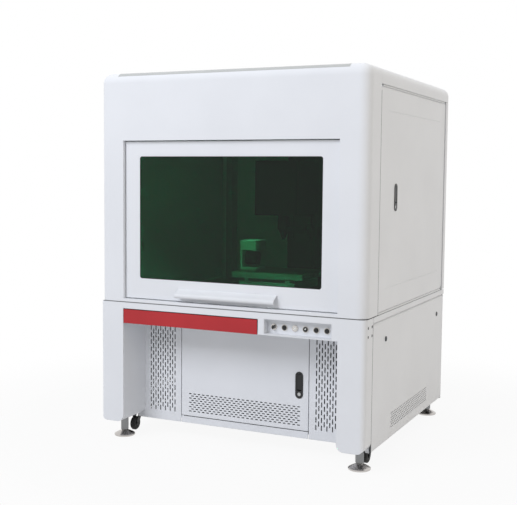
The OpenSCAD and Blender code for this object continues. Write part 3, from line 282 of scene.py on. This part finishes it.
# %% [markdown]
# ## Fixture on the work table
# The clamp is one node, a pale aluminium bracket that holds a dark drive unit. Both finishes go into
# one material: the drive is a cylinder along X inside the bracket, so a point belongs to it when it
# lies close to that axis and past the bracket's upright plate.

# %% Two-tone fixture
fixture_finish, surface, place = new_material("aluminium_bracket_with_dark_drive")
low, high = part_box("work_fixture")
plate_t, plate_room = 10 * MM, 0.5 * MM
drive_up, drive_r, drive_room = 56 * MM, 34 * MM, 1 * MM
axis = (0, (low[1] + high[1]) / 2, low[2] + drive_up)
offset = add(fixture_finish, "VectorMath", {"operation": "SUBTRACT", 1: axis}, {0: place})
across = add(fixture_finish, "VectorMath", {"operation": "MULTIPLY", 1: (0, 1, 1)}, {0: offset.outputs[0]})
reach = add(fixture_finish, "VectorMath", {"operation": "LENGTH"}, {0: across.outputs[0]})
within = {"operation": "LESS_THAN", 1: drive_r + drive_room}
near = add(fixture_finish, "Math", within, {0: reach.outputs["Value"]}).outputs["Value"]
along = add(fixture_finish, "SeparateXYZ", None, {"Vector": place}).outputs["X"]
beyond = {"operation": "GREATER_THAN", 1: low[0] + plate_t + plate_room}
past = add(fixture_finish, "Math", beyond, {0: along}).outputs["Value"]
drive = add(fixture_finish, "Math", {"operation": "MULTIPLY"}, {0: near, 1: past}).outputs["Value"]
tones = {"data_type": "RGBA", "A": linear("#dfe1e2"), "B": linear("#2a2c2f")}
colour = add(fixture_finish, "Mix", tones, {"Factor": drive})
metal = add(fixture_finish, "MapRange", {"To Min": 0.6, "To Max": 0.0}, {"Value": drive})
line_w = 3 * MM
lines = add(fixture_finish, "TexNoise", {"Scale": 1 / line_w, "Detail": 3}, {"Vector": place})
gloss = add(fixture_finish, "MapRange", {"To Min": 0.35, "To Max": 0.55}, {"Value": lines.outputs["Fac"]})
shader = add(
    fixture_finish,
    "BsdfPrincipled",
    None,
    {
        "Base Color": colour.outputs["Result"],
        "Metallic": metal.outputs["Result"],
        "Roughness": gloss.outputs["Result"],
    },
)
show(fixture_finish, surface, shader)
print("fixture: drive axis at", [round(v, 3) for v in axis])

# %% [markdown]
# ## Rings of the control devices
# The push-buttons and the selector sit in moulded black rings that have a thin plated rim, so from a
# distance the dark discs look smaller than the rings are. The four rings are one node with one material:
# wrapping the X coordinate at the pitch of the devices lays all of them over one another, and the distance
# from that common middle tells the rim from the ring.

# %% Black rings with plated rims
rimmed_ring, surface, place = new_material("black_rings_with_plated_rims")
rim_from, grain_w = 11.8 * MM, 1.5 * MM
first_low, first_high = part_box("power_button")
last_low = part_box("stop_button")[0]
# The stop button is the fourth device after the power button
steps_between = 4
device_pitch = (last_low[0] - first_low[0]) / steps_between
half_pitch = device_pitch / 2
ring_middle = ((first_low[0] + first_high[0]) / 2, 0, (first_low[2] + first_high[2]) / 2)
offset = add(rimmed_ring, "VectorMath", {"operation": "SUBTRACT", 1: ring_middle}, {0: place})
wrap = {"operation": "WRAP", 1: (half_pitch, 1, 1), 2: (-half_pitch, -1, -1)}
laid_over = add(rimmed_ring, "VectorMath", wrap, {0: offset.outputs[0]})
across = add(rimmed_ring, "VectorMath", {"operation": "MULTIPLY", 1: (1, 0, 1)}, {0: laid_over.outputs[0]})
reach = add(rimmed_ring, "VectorMath", {"operation": "LENGTH"}, {0: across.outputs[0]})
outer = {"operation": "GREATER_THAN", 1: rim_from}
on_rim = add(rimmed_ring, "Math", outer, {0: reach.outputs["Value"]}).outputs["Value"]
tones = {"data_type": "RGBA", "A": linear("#161719"), "B": linear("#c9c6c2")}
colour = add(rimmed_ring, "Mix", tones, {"Factor": on_rim})
grain = add(rimmed_ring, "TexNoise", {"Scale": 1 / grain_w, "Detail": 2}, {"Vector": place})
gloss = add(rimmed_ring, "MapRange", {"To Min": 0.26, "To Max": 0.46}, {"Value": grain.outputs["Fac"]})
shader = add(
    rimmed_ring,
    "BsdfPrincipled",
    None,
    {"Base Color": colour.outputs["Result"], "Metallic": on_rim, "Roughness": gloss.outputs["Result"]},
)
show(rimmed_ring, surface, shader)
print("rings:", rimmed_ring.name, "at a pitch of", round(device_pitch / MM, 1), "mm")

# %% [markdown]
# ## Dressing the nodes
# Each node of the frame takes the finish of the real piece. The list is kept by finish, and the last
# line counts the dressed nodes and names any that was left out.

# %% Give every node its finish
finishes = {
    white_coat: """front_fascia knee_grilles floor_pan side_panel_right side_panel_left back_panel
        side_trims lower_door keyboard_tray control_panel hood_front hood_roof hood_back_panel
        hood_side_left side_door front_door door_handle""",
    strip_coat: "top_strip",
    grey_coat: "base_frame hood_frame control_unit",
    dark_coat: "laser_source stage_base z_column",
    black_coat: "caster_fork_fl caster_fork_fr caster_fork_rl caster_fork_rr strut_cylinders",
    red_coat: "drawer_front",
    black_plastic: """lower_lock_body lower_lock_lever side_lock_body side_lock_lever
        power_button start_button stop_button mode_selector""",
    rimmed_ring: "button_bezels",
    lamp_plastic: "pilot_lamp",
    ground_steel: "lower_lock_button side_lock_button drawer_rails key_switch work_deck",
    polished_steel: "strut_rods metal_bezels",
    black_zinc: "panel_lock_front panel_lock_rear bracket_nuts",
    plated_foot: "levelling_feet",
    machined_aluminium: "stage_saddle stage_table",
    fixture_finish: "work_fixture",
    dark_anodised: "welding_head",
    safety_green: "window_pane",
    tread_rubber: "caster_wheel_fl caster_wheel_fr caster_wheel_rl caster_wheel_rr",
}
dressed = set()
for material, names in finishes.items():
    for name in names.split():
        nodes[name].data.materials.clear()
        nodes[name].data.materials.append(material)
        dressed.add(name)
print("dressed", len(dressed), "of", len(nodes), "left:", sorted(set(nodes) - dressed))

# %% [markdown]
# ## Trim pieces
# A few small things are trim and not parts of their own: the rubber seal round the window, the moulded
# head of the key, the white mark on the selector, the nuts of the feet, the hems in the joints of the
# sheet metal, and the cords in those joints, which are painted shade and painted highlight. Each starts
# from a primitive, is shaped in edit mode or stretched to its joint, gets its edges rounded by a bevel
# modifier, and rides on the body that carries it.


# %% Rounding and placing trim
def round_edges(round_mm):
    """Applies the active object's place, turn and scale, and rounds its edges."""
    bpy.ops.object.mode_set(mode="OBJECT")
    bpy.ops.object.transform_apply(location=True, rotation=True, scale=True)
    edge = bpy.context.object.modifiers.new("rounded_edges", "BEVEL")
    edge.width = round_mm * MM
    edge.segments = 3
    edge.limit_method = "ANGLE"
    bpy.ops.object.modifier_apply(modifier=edge.name)
    bpy.ops.object.shade_smooth_by_angle(angle=math.radians(35))


def place_trim(name, body, material):
    """Gives the active object its name and finish, and lets it ride on its carrier."""
    piece = bpy.context.object
    piece.name = name
    piece.data.materials.append(material)
    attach(piece, body)
    bpy.ops.object.select_all(action="DESELECT")
    print("trim", name, "has", len(piece.data.polygons), "faces")


print("trim tools ready")

# %% [markdown]
# ### Window seal
# The photograph shows a thin dark line round the window, which was read as the rubber seal between the
# door's sheet and the pane. A plane the size of the window gets its corners rounded, is inset by the
# seal's width, loses its middle, and is then extruded forwards to the sheet's face.

# %% Window seal
pane_lap, seal_w, seal_h, window_r = 14 * MM, 3 * MM, 2.2 * MM, 12 * MM
low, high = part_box("window_pane")
width = high[0] - low[0] - 2 * pane_lap
height = high[2] - low[2] - 2 * pane_lap
pane_middle = ((low[0] + high[0]) / 2, low[1], (low[2] + high[2]) / 2)
bpy.ops.mesh.primitive_plane_add(size=1, location=pane_middle, rotation=(math.pi / 2, 0, 0))
bpy.context.object.scale = (width, height, 1)
bpy.ops.object.transform_apply(location=False, rotation=False, scale=True)
bpy.ops.object.mode_set(mode="EDIT")
bpy.ops.mesh.select_all(action="SELECT")
bpy.ops.mesh.bevel(offset=window_r, segments=8, affect="VERTICES")
bpy.ops.mesh.select_all(action="SELECT")
bpy.ops.mesh.inset(thickness=seal_w)
bpy.ops.mesh.delete(type="FACE")
bpy.ops.mesh.select_all(action="SELECT")
bpy.ops.mesh.extrude_region_move(TRANSFORM_OT_translate={"value": (0, -seal_h, 0)})
bpy.ops.mesh.select_all(action="SELECT")
bpy.ops.mesh.normals_make_consistent(inside=False)
round_edges(0.8)
place_trim("window_seal", "front_door", seal_rubber)

# %% [markdown]
# ### Key head
# The key is left in its switch, and its steel bow carries a black moulded head with a hole for a ring.
# A cylinder along X has both its ends inset, and bridging the two inner faces opens the hole.


# %% Key head
def select_ends(both):
    """Opens edit mode with the active object's upper end face selected, or with both end faces."""
    bpy.ops.object.mode_set(mode="EDIT")
    bpy.ops.mesh.select_mode(type="FACE")
    bpy.ops.mesh.select_all(action="DESELECT")
    bpy.ops.object.mode_set(mode="OBJECT")
    for face in bpy.context.object.data.polygons:
        upward = abs(face.normal.z) if both else face.normal.z
        face.select = upward > 0.9
    bpy.ops.object.mode_set(mode="EDIT")


def open_through(wall):
    """Opens a hole along the active cylinder, with a wall of that thickness round it."""
    select_ends(both=True)
    bpy.ops.mesh.inset(thickness=wall)
    bpy.ops.mesh.bridge_edge_loops()


bow_r, head_r, head_t, ring_hole_r = 7 * MM, 8.5 * MM, 6 * MM, 3 * MM
low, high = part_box("key_switch")
bow_middle = ((low[0] + high[0]) / 2, low[1] + bow_r, (low[2] + high[2]) / 2)
bpy.ops.mesh.primitive_cylinder_add(
    vertices=40, radius=head_r, depth=head_t, location=bow_middle, rotation=(0, math.pi / 2, 0)
)
open_through(head_r - ring_hole_r)
round_edges(1.0)
place_trim("key_head", "key_switch", black_plastic)

# %% [markdown]
# ### Selector mark
# The selector stands at its right-hand stop. A white moulded insert fills the upper half of its handle
# and shows from a distance which way it points. A cube is stretched to the insert's size and turned with
# the handle. A narrow inset at its tip holds the bevel back, so that its edges stay fairly crisp.

# %% Selector mark
grip_w, grip_half, mark_t, tip_inset = 5 * MM, 8 * MM, 0.6 * MM, 0.1 * MM
low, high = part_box("mode_selector")
stop_turn = math.radians(45)
reach = Vector((math.sin(stop_turn), 0, math.cos(stop_turn))) * grip_half / 2
selector_middle = Vector(((low[0] + high[0]) / 2, low[1], (low[2] + high[2]) / 2))
bpy.ops.mesh.primitive_cube_add(size=1, location=selector_middle + reach, rotation=(0, stop_turn, 0))
bpy.context.object.scale = (grip_w, mark_t, grip_half)
bpy.ops.object.transform_apply(location=False, rotation=False, scale=True)
select_ends(both=False)
bpy.ops.mesh.inset(thickness=tip_inset)
round_edges(0.2)
place_trim("selector_mark", "mode_selector", white_plastic)

# %% [markdown]
# ### Adjusting nuts of the feet
# The photograph shows a thick grey block between each front pad and its column. It was read as the
# hexagonal sleeve nut by which a foot is set to its height. A cylinder with six sides is opened for the
# stem as the key's head was for its ring. One nut is modelled and copied to the four feet.


# %% Adjusting nuts
def copy_trim(model, shift):
    """Copies a rounded model, with a mesh of its own, and moves the copy, which becomes active."""
    bpy.ops.object.select_all(action="DESELECT")
    model.select_set(True)
    bpy.context.view_layer.objects.active = model
    bpy.ops.object.duplicate()
    bpy.context.object.location = shift
    bpy.ops.object.transform_apply(location=True, rotation=False, scale=False)


nut_r, nut_wall, pad_r, pad_h, nut_room = 21 * MM, 8.6 * MM, 52 * MM, 30 * MM, 2 * MM
flat_to_front = math.radians(30)
low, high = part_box("levelling_feet")
nut_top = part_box("front_fascia")[0][2] - nut_room
nut_middle = (0, 0, (pad_h + nut_top) / 2)
bpy.ops.mesh.primitive_cylinder_add(
    vertices=6, radius=nut_r, depth=nut_top - pad_h, location=nut_middle, rotation=(0, 0, flat_to_front)
)
open_through(nut_wall)
round_edges(1.2)
nut = bpy.context.object
columns = {"l": low[0] + pad_r, "r": high[0] - pad_r}
rows = {"f": low[1] + pad_r, "r": high[1] - pad_r}
for row, y in rows.items():
    for column, x in columns.items():
        copy_trim(nut, (x, y, 0))
        place_trim("foot_nut_" + row + column, "machine", zinc_plate)
bpy.data.objects.remove(nut)

# %% [markdown]
# ### Joint cords
# The photograph shows a thin dark line down the joint in front of the side door and of the lower side
# panel, while the level joints of the door look pale. The grooves there are too narrow to hold a shadow
# or a highlight of that strength, so round cords laid in them paint it: the dark grey cords in the
# upright joints are painted shade, and the white cords, white like the sheet, in the level ones are
# painted highlight. Each cord is a cylinder laid along its joint with rounded ends. The cords of the
# door ride on the door. The left side isn't in the photograph and has none.

# %% Joint cords
cord_r, cord_sink, cord_set = 4.4 * MM, 1 * MM, 0.9 * MM
corner_r, hinge_room = 24 * MM, 26 * MM


def joint_cord(name, start, end, body, slot, material):
    """A round cord between two points in a joint."""
    start, end = Vector(start), Vector(end)
    along = end - start
    bpy.ops.mesh.primitive_cylinder_add(
        vertices=20,
        radius=cord_r,
        depth=along.length,
        location=(start + end) / 2,
        rotation=along.to_track_quat("Z", "Y").to_euler(),
    )
    round_edges(1.5)
    place_trim(name, body, material)


# Dark grey cord is painted shade in the upright joints, white cord is painted highlight in the level ones
dark, white = ("black_plastic", painted_shade_cord), ("white_paint", painted_highlight_cord)
low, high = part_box("hood_side_left")
x = abs(low[0]) - cord_sink
front, rear = low[1] + cord_set, high[1] - hinge_room
foot, top = low[2] + cord_set, high[2] - cord_set
joint_cord("hood_front_shade_cord_right", (x, front, foot), (x, front, top - corner_r), "side_door", *dark)
joint_cord("hood_top_highlight_cord_right", (x, front + corner_r, top), (x, rear, top), "side_door", *white)
joint_cord("hood_foot_highlight_cord_right", (x, front + 2 * cord_r, foot), (x, rear, foot), "side_door", *white)
low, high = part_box("side_panel_right")
front = low[1] + cord_set
joint_cord("base_front_shade_cord_right", (x, front, low[2]), (x, front, high[2]), "machine", *dark)

# %% [markdown]
# ### Rear hems
# Behind the side door the rear panel comes round the corner, and the front edge of that return is folded
# inwards. The fold closes the view into the joint. A cube is stretched to a thin upright strip, and a
# copy goes to each side, because the same panel comes round the left corner.

# %% Rear hems
return_d, hem_w, hem_t, sheet_t = 42 * MM, 7 * MM, 2.5 * MM, 2.5 * MM
low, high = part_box("hood_side_left")
rear_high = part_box("hood_back_panel")[1]
hem_x = rear_high[0] - sheet_t - hem_w / 2
hem_y = rear_high[1] - return_d + hem_t / 2
bpy.ops.mesh.primitive_cube_add(size=1, location=(0, hem_y, (low[2] + high[2]) / 2))
bpy.context.object.scale = (hem_w, hem_t, high[2] - low[2])
round_edges(1.0)
hem = bpy.context.object
for label, side in (("right", 1), ("left", -1)):
    copy_trim(hem, (side * hem_x, 0, 0))
    place_trim("rear_hem_" + label, "machine", white_coat)
bpy.data.objects.remove(hem)

# %% [markdown]
# ## Studio floor
# The machine stands in a white studio. A pale floor disc catches the shadow and fades out into the
# white room, so no horizon shows. To the camera, to reflections and through the window the floor is
# nearly white already, so that only a soft shadow is left on it. To the light that falls on it, it is a
# plain pale floor.


# %% Studio floor
def seen_rays(tree_owner):
    """A socket that is 1 for rays from the camera, a reflection or a clear pane, and 0 for lighting."""
    rays = add(tree_owner, "LightPath").outputs
    largest = {"operation": "MAXIMUM"}
    seen = add(tree_owner, "Math", largest, {0: rays["Is Camera Ray"], 1: rays["Is Glossy Ray"]})
    seen = add(tree_owner, "Math", largest, {0: seen.outputs[0], 1: rays["Is Transmission Ray"]})
    return seen.outputs[0]


floor_r, fade_from, fade_to = 7, 1.2, 2.6
seen_white = 0.92
bpy.ops.mesh.primitive_circle_add(vertices=96, radius=floor_r, fill_type="NGON")
floor = bpy.context.object
floor.name = "studio_floor"
pale_floor, surface, place = new_material("pale_studio_floor")
radius = add(pale_floor, "VectorMath", {"operation": "LENGTH"}, {0: place})
rim = {"From Min": fade_from, "From Max": fade_to, "interpolation_type": "SMOOTHSTEP"}
fade = add(pale_floor, "MapRange", rim, {"Value": radius.outputs["Value"]}).outputs["Result"]
paint = add(pale_floor, "BsdfDiffuse", {"Color": linear("#d2d2d2")}).outputs["BSDF"]
glow = add(pale_floor, "Emission", {"Color": linear("#ffffff"), "Strength": 1.0}).outputs[0]
share = add(pale_floor, "Math", {"operation": "MULTIPLY", 1: seen_white}, {0: seen_rays(pale_floor)})
lifted = add(pale_floor, "MixShader", None, {0: share.outputs[0], 1: paint, 2: glow}).outputs["Shader"]
clear = add(pale_floor, "BsdfTransparent").outputs["BSDF"]
faded = add(pale_floor, "MixShader", None, {0: fade, 1: lifted, 2: clear})
show(pale_floor, surface, faded)
floor.data.materials.append(pale_floor)
print("floor fades out between", fade_from, "and", fade_to, "m")

# %% [markdown]
# ## White room
# The world makes the same distinction. Rays that are seen meet full white, so the background, the metal
# and the window show a white room. The light that reaches the machine is half as strong, a plain level at
# which white paint keeps its shading.

# %% White room
room_light = 0.50
room = bpy.data.worlds.new("white_room")
bpy.context.scene.world = room
room.use_nodes = True
room.node_tree.nodes.clear()
lighting = add(room, "Background", {"Color": linear("#ffffff"), "Strength": room_light}).outputs[0]
backdrop = add(room, "Background", {"Color": linear("#ffffff"), "Strength": 1.0}).outputs[0]
mixed = add(room, "MixShader", None, {0: seen_rays(room), 1: lighting, 2: backdrop})
sky = add(room, "OutputWorld")
show(room, sky.inputs["Surface"], mixed)
print("room lights with a strength of", room_light)

# %% [markdown]
# ## Lamps
# A big softbox in front and to the left gives the front face its cool, even white. A weaker, warmer
# one on the right keeps the side a shade darker, and one overhead lights the roof. A small lamp under
# the roof shines down on the work table, as the strip lamp of such a machine does, so that the stage
# shows through the green window and the walls round it stay dim. The lamps are kept out of both the
# reflections on the window and those inside its sheet, so it shows the plain room and not their squares.


# %% Lamps
def softbox(name, place, target, size, power, colour, spread=180):
    """A square area lamp that points at a target; spread is the angle of its beam in degrees."""
    lamp = bpy.data.lights.new(name, "AREA")
    lamp.size = size
    lamp.energy = power
    lamp.color = linear(colour)[:3]
    lamp.spread = math.radians(spread)
    holder = bpy.data.objects.new(name, lamp)
    bpy.context.collection.objects.link(holder)
    holder.visible_glossy = False
    holder.visible_transmission = False
    direction = Vector(target) - Vector(place)
    turn = direction.to_track_quat("-Z", "Y").to_matrix().to_4x4()
    holder.matrix_world = Matrix.Translation(place) @ turn
    print("lamp", name, power, "W")


machine_middle = (0, 0, 0.9)
table_front = (0.05, -0.30, 0.7)
softbox("front_softbox", (-1.6, -5.2, 4.8), machine_middle, 3.0, 228, "#f4f7ff")
softbox("side_softbox", (6.0, -1.0, 2.4), machine_middle, 3.0, 52, "#ffebc8")
softbox("top_softbox", (0.5, 1.5, 5.0), machine_middle, 3.5, 45, "#ffffff")
softbox("chamber_lamp", (0.0, -0.40, 1.72), table_front, 0.25, 6, "#ffffff", spread=80)

# %% [markdown]
# ## Camera
# The photograph was taken with a fairly long lens from the machine's right front, at chest height.
# Its place and turn were found by fitting the shell's edges, and are kept as yaw, pitch and roll.

# %% Camera
camera_place = Vector((2.002, -4.516, 1.319))
yaw, pitch, roll = 0.4426, 0.0808, 0.009
photo_width, focal_pixels = 517, 944.4

ahead = Vector((-math.sin(yaw) * math.cos(pitch), math.cos(yaw) * math.cos(pitch), -math.sin(pitch)))
level = Vector((math.cos(yaw), math.sin(yaw), 0))
upright = level.cross(ahead)
right = math.cos(roll) * level + math.sin(roll) * upright
up = math.cos(roll) * upright - math.sin(roll) * level

lens = bpy.data.cameras.new("photo_camera")
lens.sensor_width = 36
lens.lens = focal_pixels / photo_width * lens.sensor_width
camera = bpy.data.objects.new("photo_camera", lens)
bpy.context.collection.objects.link(camera)
turn = Matrix((right, up, -ahead)).transposed().to_4x4()
camera.matrix_world = Matrix.Translation(camera_place) @ turn
bpy.context.scene.camera = camera
bpy.context.scene.view_settings.view_transform = "Standard"
print("camera lens", round(lens.lens, 1), "mm")
